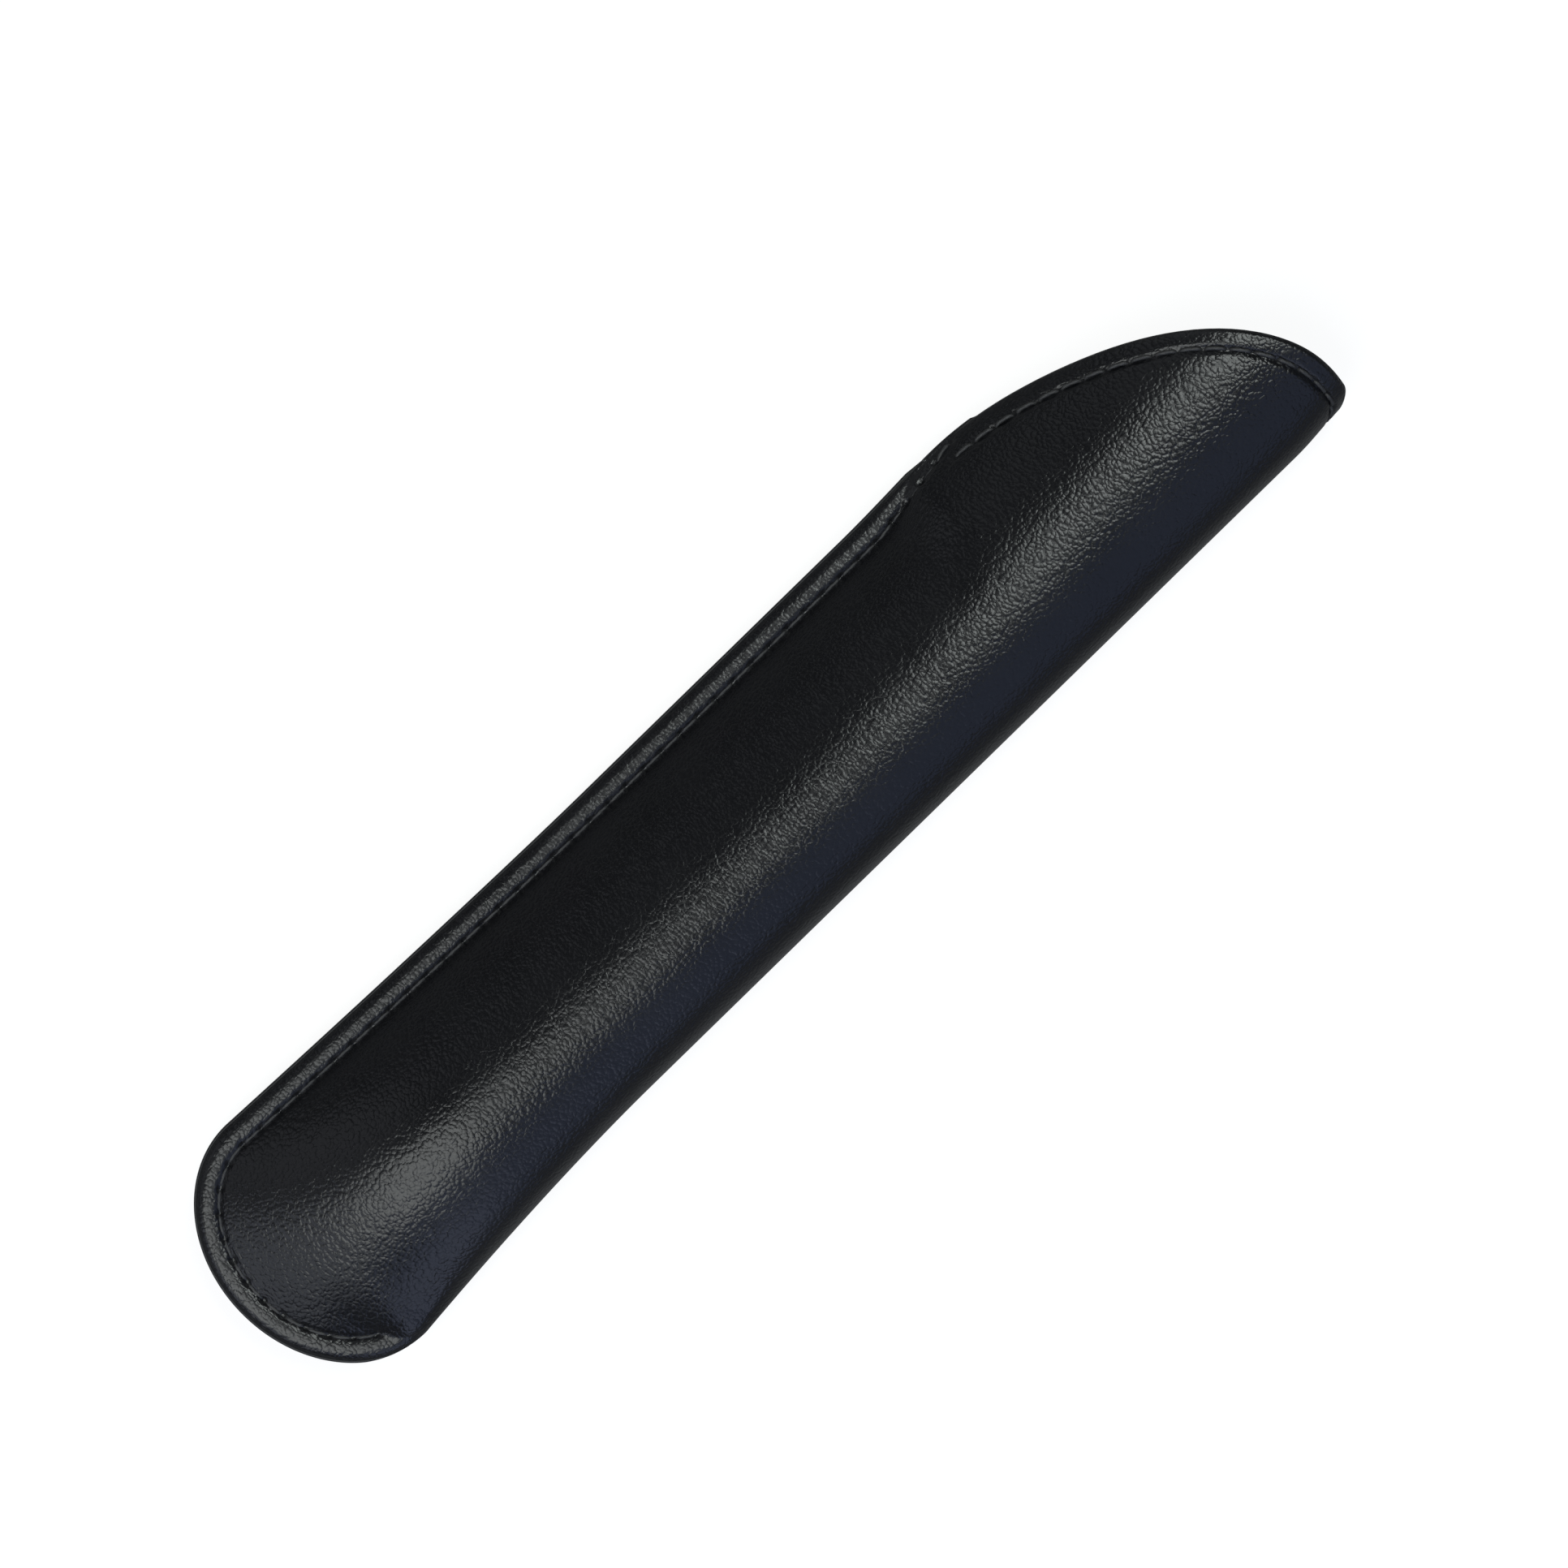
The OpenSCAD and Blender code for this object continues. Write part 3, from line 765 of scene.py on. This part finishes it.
# %% One stitch
THREAD_R = 0.2
THREAD_SIDES = 12
THREAD_RINGS = 15
TWISTS = 2.5
LOBES, LOBE_H = 3, 0.1
END_SLIM, SLIM_POWER = 0.25, 8
STITCH_GAP = 0.12           # from the hole's centre to the end of the stitch
STITCH_UP, STITCH_DIVE, DIVE_POWER = 0.75 * THREAD_R, 0.5, 5
FOLD_SINK = 0.16


def stitch_rings(at, start, end, side, sink, seed):
    """Rings of points round one stitch, raised on the given side of the surface."""
    s = np.linspace(start + STITCH_GAP, end - STITCH_GAP, THREAD_RINGS)
    t = np.linspace(-1, 1, THREAD_RINGS)
    place, normal = at(s)
    at_fold = 1 - fold_round(place[:, 0], place[:, 1])
    lift = side * (STITCH_UP - STITCH_DIVE * np.abs(t) ** DIVE_POWER - FOLD_SINK * at_fold)
    place = place + normal * (lift + sink(place[:, 1]))[:, None]
    along = np.gradient(place, axis=0)
    along /= np.linalg.norm(along, axis=1, keepdims=True)
    across = np.cross(along, normal)
    across /= np.linalg.norm(across, axis=1, keepdims=True)
    up = np.cross(across, along)
    turn = 2 * np.pi * np.arange(THREAD_SIDES) / THREAD_SIDES
    rings = []
    for k in range(THREAD_RINGS):
        lobes = 1 + LOBE_H * np.cos(LOBES * (turn + TWISTS * t[k] + seed))
        r = THREAD_R * lobes * (1 - END_SLIM * abs(t[k]) ** SLIM_POWER)
        rings.append(place[k] + (r * np.cos(turn))[:, None] * across[k] + (r * np.sin(turn))[:, None] * up[k])
    return np.stack(rings)


print("thread", 2 * THREAD_R, "mm thick")

# %% [markdown]
# ### Two lines of lockstitch
# A lockstitch has a needle thread on top and a bobbin thread below. Both threads of the side seam lie on
# the outside, one on the front and one on the back. The hem's bobbin thread lies on the lining.

# %% The four threads
TURN_STEP = 0.7             # how much the twist differs from one stitch to the next
SEAM_PRESS, CORNER_PRESS = 0.2, 0.1
HEM_THREAD_UP = 0.02


def add_thread(name, node, at, holes, side, sink):
    points, faces = [], []
    for k in range(len(holes) - 1):
        rings = stitch_rings(at, holes[k], holes[k + 1], side, sink, TURN_STEP * k)
        points.append(rings.reshape(-1, 3))
        faces += tube_faces(THREAD_RINGS, THREAD_SIDES, k * THREAD_RINGS * THREAD_SIDES)
    piece, _ = add_piece(name, np.concatenate(points), faces)
    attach(piece, "root")
    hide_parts(node)
    print(name, "has", len(holes) - 1, "stitches")
    return piece


def seam_sink(y):
    """How far the seam's thread follows the leather down, and less where the bead ends at the corner."""
    beside_bead = BEAD_H * float(crown((SEAM_STITCH_IN - BEAD_AT) / BEAD_HALF_W)) - FLANGE_SINK - SEAM_PRESS
    return beside_bead * bead_share(y) - CORNER_PRESS * (1 - bead_share(y))


threads = [add_thread("seam_top_stitches", "seam_top_thread", *seam_lines[0], 1, seam_sink),
           add_thread("seam_bobbin_stitches", "seam_bobbin_thread", *seam_lines[1], 1, seam_sink),
           add_thread("hem_top_stitches", "hem_top_thread", hem_at, hem_holes, 1,
                      lambda y: HEM_THREAD_UP - HEM_GROOVE),
           add_thread("hem_bobbin_stitches", "hem_bobbin_thread", hem_at, hem_holes, -1,
                      lambda y: -LINING_IN)]

# %% [markdown]
# ## Finishes: shared effects
# Leather, lining, edge paint and thread all need an uneven surface at their own scale. Two node groups
# with named inputs and outputs serve them: the pebble grain, with a fine roughness in it, and the worn
# places that also carry a painted highlight. They give out only heights and masks, and each material sets
# its own values.

# %% Helpers for nodes
def new_group(name, inputs, outputs):
    group = bpy.data.node_groups.new(name, "ShaderNodeTree")
    for label, kind, value in inputs:
        socket = group.interface.new_socket(name=label, in_out="INPUT", socket_type=kind)
        if value is not None:
            socket.default_value = value
    for label, kind in outputs:
        group.interface.new_socket(name=label, in_out="OUTPUT", socket_type=kind)
    return group, group.nodes.new("NodeGroupInput"), group.nodes.new("NodeGroupOutput")


def add_node(tree, kind, links=(), **settings):
    """A node with its settings, and links into its inputs: (input, output socket or plain value)."""
    node = tree.nodes.new(kind)
    for key, value in settings.items():
        setattr(node, key, value)
    for key, source in links:
        if isinstance(source, bpy.types.NodeSocket):
            tree.links.new(source, node.inputs[key])
        else:
            node.inputs[key].default_value = source
    return node


def math_node(tree, operation, a, b):
    return add_node(tree, "ShaderNodeMath", [(0, a), (1, b)], operation=operation).outputs[0]


def noise_node(tree, vector, scale, detail):
    return add_node(tree, "ShaderNodeTexNoise", [("Vector", vector), ("Scale", scale), ("Detail", detail)])


def spread(tree, value, low, high, to_low=0.0, to_high=1.0):
    """Map a value from one range to another, held inside it."""
    links = [("Value", value), ("From Min", low), ("From Max", high), ("To Min", to_low), ("To Max", to_high)]
    return add_node(tree, "ShaderNodeMapRange", links).outputs["Result"]


print("node helpers ready")

# %% [markdown]
# ### Pebble grain
# Grained leather is covered with small rounded pebbles of uneven size, with fine valleys between them.
# Voronoi cells give the pebbles: the squared distance to a cell's centre makes the round top. The
# distance to a cell's edge is put out as a mask for the valleys. Noise bends the cells first, so that no
# straight lines show.

# %% Pebble grain group
BEND_SCALE, BEND_REACH = 900.0, 0.0007      # waves per metre, and how far they bend the cells in metres
DOME_END, VALLEY_END = 0.6, 0.16            # in cells, where the round top and the valley end
PATCH_SCALE, UNEVEN_SCALE = 130.0, 2600.0

grain, g_in, g_out = new_group(
    "pebble_grain",
    [("Vector", "NodeSocketVector", None), ("Cells per Metre", "NodeSocketFloat", 1500.0),
     ("Unevenness", "NodeSocketFloat", 0.5)],
    [("Height", "NodeSocketFloat"), ("Valley", "NodeSocketFloat"), ("Patch", "NodeSocketFloat")])
place = g_in.outputs["Vector"]
bend = noise_node(grain, place, BEND_SCALE, 2.0)
shift = add_node(grain, "ShaderNodeVectorMath", [(0, bend.outputs["Color"]), (1, (BEND_REACH,) * 3)],
                 operation="MULTIPLY")
bent = add_node(grain, "ShaderNodeVectorMath", [(0, place), (1, shift.outputs[0])], operation="ADD")
cells = [("Vector", bent.outputs[0]), ("Scale", g_in.outputs["Cells per Metre"])]
cell = add_node(grain, "ShaderNodeTexVoronoi", cells, feature="F1")
rim = add_node(grain, "ShaderNodeTexVoronoi", cells, feature="DISTANCE_TO_EDGE")
squared = math_node(grain, "MULTIPLY", cell.outputs["Distance"], cell.outputs["Distance"])
dome = spread(grain, squared, 0.0, DOME_END, 1.0, 0.0)
valley = spread(grain, rim.outputs["Distance"], 0.0, VALLEY_END)
patch = noise_node(grain, place, PATCH_SCALE, 3.0)
uneven = noise_node(grain, place, UNEVEN_SCALE, 3.0)
rough = math_node(grain, "MULTIPLY", uneven.outputs["Fac"], g_in.outputs["Unevenness"])
grain.links.new(math_node(grain, "ADD", dome, rough), g_out.inputs["Height"])
grain.links.new(valley, g_out.inputs["Valley"])
grain.links.new(patch.outputs["Fac"], g_out.inputs["Patch"])
print("grain group ready, with", len(grain.nodes), "nodes")

# %% [markdown]
# ### Worn places with a painted highlight
# The bead beside the seam and the edge of the mouth are touched most. There the grain is a little
# flatter and duller. It is also paler, partly as wear and partly as a highlight painted on the bead's
# crown and the mouth's edge. The mesh carries a mask for these places, and noise breaks it up.

# %% Group for worn places with a painted highlight
SPOT_SCALE, SPOT_LOW, SPOT_HIGH = 420.0, 0.35, 0.7

wear_and_highlight_group, r_in, r_out = new_group(
    "worn_and_highlighted_places",
    [("Vector", "NodeSocketVector", None), ("Breakup", "NodeSocketFloat", 0.5)],
    [("Mask", "NodeSocketFloat")])
# The mask read here marks wear, and also where a painted highlight goes.
rub_layer = add_node(wear_and_highlight_group, "ShaderNodeAttribute", attribute_name="wear_and_highlight", attribute_type="GEOMETRY")
spots = noise_node(wear_and_highlight_group, r_in.outputs["Vector"], SPOT_SCALE, 4.0)
broken = spread(wear_and_highlight_group, spots.outputs["Fac"], SPOT_LOW, SPOT_HIGH)
kept = math_node(wear_and_highlight_group, "SUBTRACT", 1.0, math_node(wear_and_highlight_group, "MULTIPLY", broken, r_in.outputs["Breakup"]))
wear_and_highlight_group.links.new(math_node(wear_and_highlight_group, "MULTIPLY", rub_layer.outputs["Fac"], kept), r_out.inputs["Mask"])
print("rubbed places ready, with", len(wear_and_highlight_group.nodes), "nodes")

# %% [markdown]
# ## Finishes: the materials
# The leather is almost black with a trace of blue, satin, and brighter where it catches the lamps and
# where a paler colour paints a highlight on the bead and the mouth's edge. Its base colour, roughness and
# grain height change over the surface, and the fixed numbers sit on the shader itself.

# %% Helpers for materials
PATCHES = (0.3, 0.7)        # the range in which the patches of the grain group mostly lie


def new_material(name):
    made = bpy.data.materials.new(name)
    made.use_nodes = True
    tree = made.node_tree
    shader = tree.nodes["Principled BSDF"]
    coords = tree.nodes.new("ShaderNodeTexCoord")
    return made, tree, shader, coords.outputs["Object"]


def place_group(tree, group, **values):
    """A node group with its inputs set. An underscore in a key stands for a space."""
    node = tree.nodes.new("ShaderNodeGroup")
    node.node_tree = group
    for key, value in values.items():
        label = key.replace("_", " ")
        if isinstance(value, bpy.types.NodeSocket):
            tree.links.new(value, node.inputs[label])
        else:
            node.inputs[label].default_value = value
    return node


def tint(tree, factor, low, high):
    """A colour between two, which can be fixed colours or outputs of other nodes."""
    node = add_node(tree, "ShaderNodeMix", [("Factor", factor), ("A", low), ("B", high)], data_type="RGBA")
    return node.outputs["Result"]


def cover(tree, shader, colour, roughness, height, strength, distance):
    """Link a colour, a roughness and a bump into the shader."""
    links = [("Height", height), ("Strength", strength), ("Distance", distance)]
    bump = add_node(tree, "ShaderNodeBump", links)
    sources = {"Base Color": colour, "Roughness": roughness, "Normal": bump.outputs["Normal"]}
    for name, source in sources.items():
        tree.links.new(source, shader.inputs[name])


def dress(piece, material):
    piece.data.materials.clear()
    piece.data.materials.append(material)


print("material helpers ready")

# %% [markdown]
# ### Leather
# Rubbed places are paler and a little duller, with pebbles lower by a tenth. The paler colour is partly
# wear and partly a painted highlight on the bead's crown and the mouth's edge.

# %% Black pebble leather
LEATHER_CELLS = 2400.0

leather_finish, tree, shader, where = new_material("black_pebble_leather")
pebbles = place_group(tree, grain, Vector=where, Cells_per_Metre=LEATHER_CELLS, Unevenness=0.4)
wear_and_highlight = place_group(tree, wear_and_highlight_group, Vector=where, Breakup=0.5)
tone = tint(tree, pebbles.outputs["Patch"], (0.0032, 0.0033, 0.0040, 1), (0.0048, 0.0050, 0.0062, 1))
# Paler on the bead and the mouth's edge: wear, and also a painted highlight.
worn_and_highlighted_tone = tint(tree, wear_and_highlight.outputs["Mask"], tone, (0.009, 0.009, 0.010, 1))
polish = spread(tree, pebbles.outputs["Patch"], *PATCHES, 0.24, 0.29)
gloss = math_node(tree, "ADD", polish, math_node(tree, "MULTIPLY", wear_and_highlight.outputs["Mask"], 0.03))
flat = math_node(tree, "SUBTRACT", 1.0, math_node(tree, "MULTIPLY", wear_and_highlight.outputs["Mask"], 0.1))
height = math_node(tree, "MULTIPLY", pebbles.outputs["Height"], flat)
cover(tree, shader, worn_and_highlighted_tone, gloss, height, 1.0, 0.000034)
shader.inputs["IOR"].default_value = 1.42
dress(leather, leather_finish)
print("leather finish with pebbles about", round(1000 / LEATHER_CELLS, 2), "mm across")

# %% [markdown]
# ### Lining
# The lining is a charcoal cloth with a short nap, so it is matt with a soft sheen.

# %% Charcoal lining cloth
cloth_finish, tree, shader, where = new_material("charcoal_lining_cloth")
nap = place_group(tree, grain, Vector=where, Cells_per_Metre=3800.0, Unevenness=1.2)
tone = tint(tree, nap.outputs["Patch"], (0.03, 0.03, 0.034, 1), (0.055, 0.055, 0.06, 1))
rough = spread(tree, nap.outputs["Patch"], *PATCHES, 0.85, 0.95)
cover(tree, shader, tone, rough, nap.outputs["Height"], 0.8, 0.00008)
shader.inputs["Sheen Weight"].default_value = 0.3
dress(lining, cloth_finish)
print("cloth finish on", lining.name)

# %% [markdown]
# ### Edge paint
# Edge paint is smooth and satin, with a faint waviness from the strokes of the brush.

# %% Black edge paint
paint_finish, tree, shader, where = new_material("black_edge_paint")
coat = place_group(tree, grain, Vector=where, Cells_per_Metre=500.0, Unevenness=0.6)
tone = tint(tree, coat.outputs["Patch"], (0.005, 0.005, 0.006, 1), (0.009, 0.009, 0.01, 1))
rough = spread(tree, coat.outputs["Patch"], *PATCHES, 0.55, 0.65)
cover(tree, shader, tone, rough, coat.outputs["Height"], 0.25, 0.00006)
dress(paint, paint_finish)
print("paint finish on", paint.name)

# %% [markdown]
# ### Thread
# The thread is a tight black cord of fine fibres. Its colour is darker in the valleys between them and a
# little paler on top, which is painted shade in the valleys.

# %% Black sewing thread
thread_finish, tree, shader, where = new_material("black_sewing_thread")
fibre = place_group(tree, grain, Vector=where, Cells_per_Metre=9000.0, Unevenness=0.8)
# Darker colour in the valleys between the fibres is painted shade.
tone = tint(tree, fibre.outputs["Valley"], (0.008, 0.008, 0.009, 1), (0.02, 0.02, 0.021, 1))
rough = spread(tree, fibre.outputs["Patch"], *PATCHES, 0.5, 0.6)
cover(tree, shader, tone, rough, fibre.outputs["Height"], 0.5, 0.00003)
for thread in threads:
    dress(thread, thread_finish)
print("thread finish on", len(threads), "pieces")

# %% [markdown]
# ## The floor
# The sleeve lies on a plain white floor that keeps its soft shadow. Rays from the camera and through
# glass see the floor as an even white. Mirrored rays see only a little of it, because the black leather
# in the picture has no bright rim along the floor.

# %% Floor
FLOOR_HALF = 2.0
FLOOR_GAP = 0.05 * MM
FLOOR_WHITE = 0.83
FLOOR_MIRRORED = 0.07
FLOOR_LIT, FLOOR_LIT_MIRRORED = 0.22, 0.12


def rays_to_white(tree, mirrored_share):
    """Three masks: mirrored rays, rays that see white directly, and these with a share of the mirrored."""
    path = tree.nodes.new("ShaderNodeLightPath")
    glossy = path.outputs["Is Glossy Ray"]
    direct = math_node(tree, "MAXIMUM", path.outputs["Is Camera Ray"], path.outputs["Is Transmission Ray"])
    mirrored = math_node(tree, "MULTIPLY", glossy, mirrored_share)
    return glossy, direct, math_node(tree, "MAXIMUM", direct, mirrored)


corners = [(x * FLOOR_HALF, y * FLOOR_HALF, 0) for x, y in ((-1, -1), (1, -1), (1, 1), (-1, 1))]
floor_mesh = bpy.data.meshes.new("floor")
floor_mesh.from_pydata(corners, [], [(0, 1, 2, 3)])
floor = bpy.data.objects.new("floor", floor_mesh)
floor.location = (0, 0, -FLOOR_GAP)
bpy.context.scene.collection.objects.link(floor)
floor_finish, tree, shader, _ = new_material("white_floor")
shader.inputs["Base Color"].default_value = (0.8, 0.8, 0.8, 1)
shader.inputs["Roughness"].default_value = 0.9
shader.inputs["Specular IOR Level"].default_value = 0.1
glossy, direct, white = rays_to_white(tree, FLOOR_MIRRORED)
lit = spread(tree, glossy, 0.0, 1.0, FLOOR_LIT, FLOOR_LIT_MIRRORED)
shade = add_node(tree, "ShaderNodeBsdfDiffuse", [("Color", lit)])
strength = math_node(tree, "MULTIPLY", white, FLOOR_WHITE)
glow = add_node(tree, "ShaderNodeEmission", [("Color", (1, 1, 1, 1)), ("Strength", strength)])
both = add_node(tree, "ShaderNodeAddShader", [(0, shade.outputs[0]), (1, glow.outputs[0])])
not_diffuse = math_node(tree, "MAXIMUM", direct, glossy)
seen = add_node(tree, "ShaderNodeMixShader", [(0, not_diffuse), (1, shader.outputs[0]), (2, both.outputs[0])])
tree.links.new(seen.outputs[0], tree.nodes["Material Output"].inputs["Surface"])
dress(floor, floor_finish)
print("floor", 2 * FLOOR_HALF, "m wide")

# %% [markdown]
# ## The light
# Two wide lamps hang over the mouth and over the toe, with a gap between them where the camera is. That
# gap is why the crest is bright at both ends and darker in the middle. Weak lamps stand low round the
# sleeve: two on the seam's side for the bead, one past the toe, and two slightly blue ones on the fold's
# side that lift the far slope. The world is white for the camera and almost dark for everything else.

# %% Lamps
def add_lamp(name, place, aim, size_x, size_y, power, colour):
    light = bpy.data.lights.new(name, "AREA")
    light.shape = "RECTANGLE"
    light.size = size_x
    light.size_y = size_y
    light.energy = power
    light.color = colour
    lamp = bpy.data.objects.new(name, light)
    lamp.location = place
    back_way = np.array(place) - np.array(aim)
    back_way /= np.linalg.norm(back_way)
    side = np.cross((0, 1, 0), back_way)
    side /= np.linalg.norm(side)
    up = np.cross(back_way, side)
    lamp.matrix_world = Matrix([[side[k], up[k], back_way[k], place[k]] for k in range(3)] + [[0, 0, 0, 1]])
    bpy.context.scene.collection.objects.link(lamp)


add_lamp("lamp_over_mouth", (-0.03, 0.225, 0.55), (0, 0.03, 0), 0.34, 0.21, 1.75, (0.94, 1.0, 0.98))
add_lamp("lamp_over_toe", (0.03, -0.284, 0.53), (0, -0.03, 0), 0.38, 0.372, 1.95, (0.96, 1.0, 0.99))
add_lamp("lamp_seam_mouth", (-0.5, 0.22, 0.28), (0, 0.04, 0), 0.4, 0.3, 0.16, (0.9, 0.95, 1.0))
add_lamp("lamp_seam_toe", (-0.5, -0.3, 0.28), (0, -0.05, 0), 0.4, 0.4, 0.24, (0.9, 0.93, 1.0))
add_lamp("lamp_toe_end", (-0.05, -0.65, 0.32), (0, -0.05, 0), 0.6, 0.3, 0.8, (0.8, 0.86, 1.0))
add_lamp("lamp_fold_toe", (0.5, -0.3, 0.22), (0, -0.06, 0), 0.38, 0.3, 0.3, (0.72, 0.78, 1.0))
add_lamp("lamp_fold_side", (0.45, -0.12, 0.3), (0, -0.1, 0), 0.62, 0.9, 1.12, (0.5, 0.62, 1.0))

# %% World
WORLD_MIRRORED = 0.01
WORLD_LEAST = 0.03

world = bpy.data.worlds.new("studio")
world.use_nodes = True
bpy.context.scene.world = world
tree = world.node_tree
sky = tree.nodes["Background"]
sky.inputs["Color"].default_value = (1, 1, 1, 1)
_, _, white = rays_to_white(tree, WORLD_MIRRORED)
tree.links.new(spread(tree, white, 0.0, 1.0, WORLD_LEAST, 1.0), sky.inputs["Strength"])
bpy.context.scene.view_settings.view_transform = "Standard"
print("world ready")
